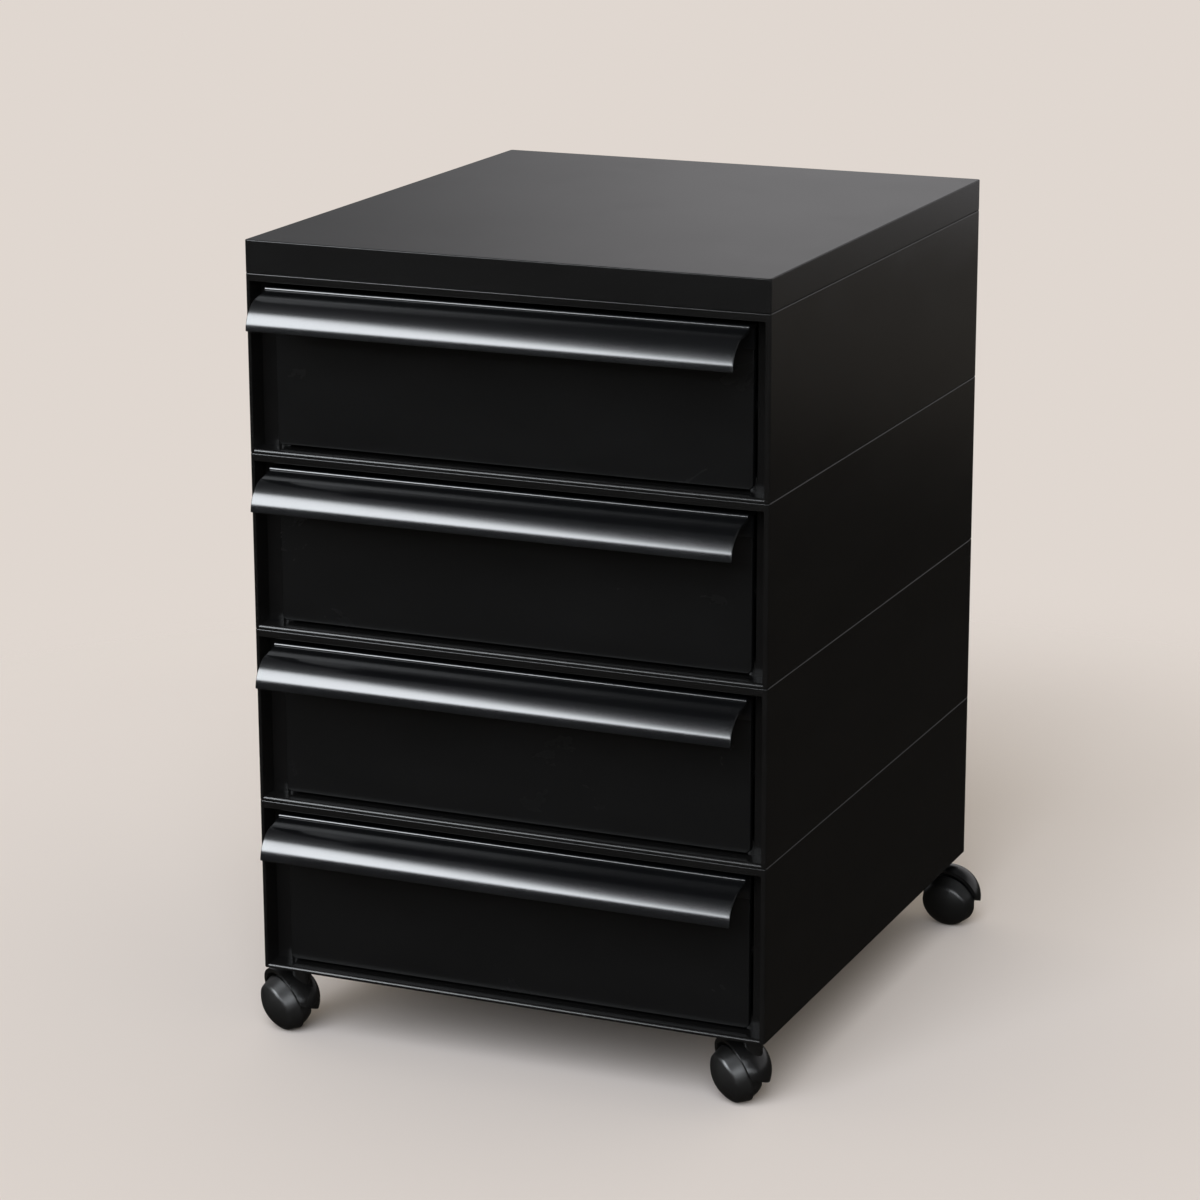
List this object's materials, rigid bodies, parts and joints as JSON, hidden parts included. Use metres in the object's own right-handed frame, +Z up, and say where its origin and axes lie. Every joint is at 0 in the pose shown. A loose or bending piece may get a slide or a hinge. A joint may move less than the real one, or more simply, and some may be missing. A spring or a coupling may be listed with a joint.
{
  "type": "rolling drawer cabinet",
  "caption": "Low pedestal of stacked open-fronted cases with full-width curved pulls on their drawers, rolling on tilted ball casters.",
  "frame": {"origin": "on the floor, under the middle of the whole object's box, pulls and casters included", "axes": "+Z up, -Y towards the front, the way the drawers open, +X to the right seen from the front"},
  "size_m": [0.4384, 0.5006, 0.607],
  "materials": {
    "case_plastic": "satin, fine moulded grain",
    "drawer_plastic": "satin, fine moulded grain",
    "pull_plastic": "glossy",
    "caster_plastic": "glossy",
    "wheel_plastic": "semi-gloss",
    "inner_plastic": "matte",
    "stem_steel": "zinc plated, turned",
    "screw_steel": "zinc plated",
    "spring_steel": "blued spring steel"
  },
  "bodies": {
    "cabinet": {"top_cover": "case_plastic", "case_1": "case_plastic", "case_2": "case_plastic", "case_3": "case_plastic", "case_4": "case_plastic", "locating_pins": "inner_plastic", "caster_sockets": "inner_plastic", "stem_snap_rings": "spring_steel", "caster_stem_front_left": "stem_steel", "caster_stem_front_right": "stem_steel", "caster_stem_back_left": "stem_steel", "caster_stem_back_right": "stem_steel"},
    "drawer_1": {"drawer_tray_1": "drawer_plastic", "drawer_pull_1": "pull_plastic", "pull_screws_1": "screw_steel"},
    "drawer_2": {"drawer_tray_2": "drawer_plastic", "drawer_pull_2": "pull_plastic", "pull_screws_2": "screw_steel"},
    "drawer_3": {"drawer_tray_3": "drawer_plastic", "drawer_pull_3": "pull_plastic", "pull_screws_3": "screw_steel"},
    "drawer_4": {"drawer_tray_4": "drawer_plastic", "drawer_pull_4": "pull_plastic", "pull_screws_4": "screw_steel"},
    "caster_front_left": {"caster_hood_front_left": "caster_plastic", "caster_axle_front_left": "stem_steel"},
    "wheel_front_left": {"caster_wheel_front_left": "wheel_plastic"},
    "caster_front_right": {"caster_hood_front_right": "caster_plastic", "caster_axle_front_right": "stem_steel"},
    "wheel_front_right": {"caster_wheel_front_right": "wheel_plastic"},
    "caster_back_left": {"caster_hood_back_left": "caster_plastic", "caster_axle_back_left": "stem_steel"},
    "wheel_back_left": {"caster_wheel_back_left": "wheel_plastic"},
    "caster_back_right": {"caster_hood_back_right": "caster_plastic", "caster_axle_back_right": "stem_steel"},
    "wheel_back_right": {"caster_wheel_back_right": "wheel_plastic"}
  },
  "joints": [
    {"name": "drawer_1_slide", "type": "slide", "parent": "cabinet", "child": "drawer_1", "axis": [0, -1, 0], "range_m": [0, 0.29]},
    {"name": "drawer_2_slide", "type": "slide", "parent": "cabinet", "child": "drawer_2", "axis": [0, -1, 0], "range_m": [0, 0.29]},
    {"name": "drawer_3_slide", "type": "slide", "parent": "cabinet", "child": "drawer_3", "axis": [0, -1, 0], "range_m": [0, 0.29]},
    {"name": "drawer_4_slide", "type": "slide", "parent": "cabinet", "child": "drawer_4", "axis": [0, -1, 0], "range_m": [0, 0.29]},
    {"name": "caster_front_left_swivel", "type": "hinge", "parent": "cabinet", "child": "caster_front_left", "pos_m": [-0.182, -0.19556, 0.043], "axis": [0, 0, 1], "continuous": true},
    {"name": "wheel_front_left_spin", "type": "hinge", "parent": "caster_front_left", "child": "wheel_front_left", "pos_m": [-0.19589, -0.19514, 0.02109], "axis": [-0.504, -0.8065, -0.309], "continuous": true},
    {"name": "caster_front_right_swivel", "type": "hinge", "parent": "cabinet", "child": "caster_front_right", "pos_m": [0.182, -0.19556, 0.043], "axis": [0, 0, 1], "continuous": true},
    {"name": "wheel_front_right_spin", "type": "hinge", "parent": "caster_front_right", "child": "wheel_front_right", "pos_m": [0.16831, -0.19321, 0.02109], "axis": [-0.6113, -0.7286, -0.309], "continuous": true},
    {"name": "caster_back_left_swivel", "type": "hinge", "parent": "cabinet", "child": "caster_back_left", "pos_m": [-0.182, 0.22484, 0.043], "axis": [0, 0, 1], "continuous": true},
    {"name": "wheel_back_left_spin", "type": "hinge", "parent": "caster_back_left", "child": "wheel_back_left", "pos_m": [-0.1932, 0.23305, 0.02109], "axis": [0.0994, 0.9458, -0.309], "continuous": true},
    {"name": "caster_back_right_swivel", "type": "hinge", "parent": "cabinet", "child": "caster_back_right", "pos_m": [0.182, 0.22484, 0.043], "axis": [0, 0, 1], "continuous": true},
    {"name": "wheel_back_right_spin", "type": "hinge", "parent": "caster_back_right", "child": "wheel_back_right", "pos_m": [0.1932, 0.21662, 0.02109], "axis": [-0.0994, -0.9458, -0.309], "continuous": true}
  ]
}
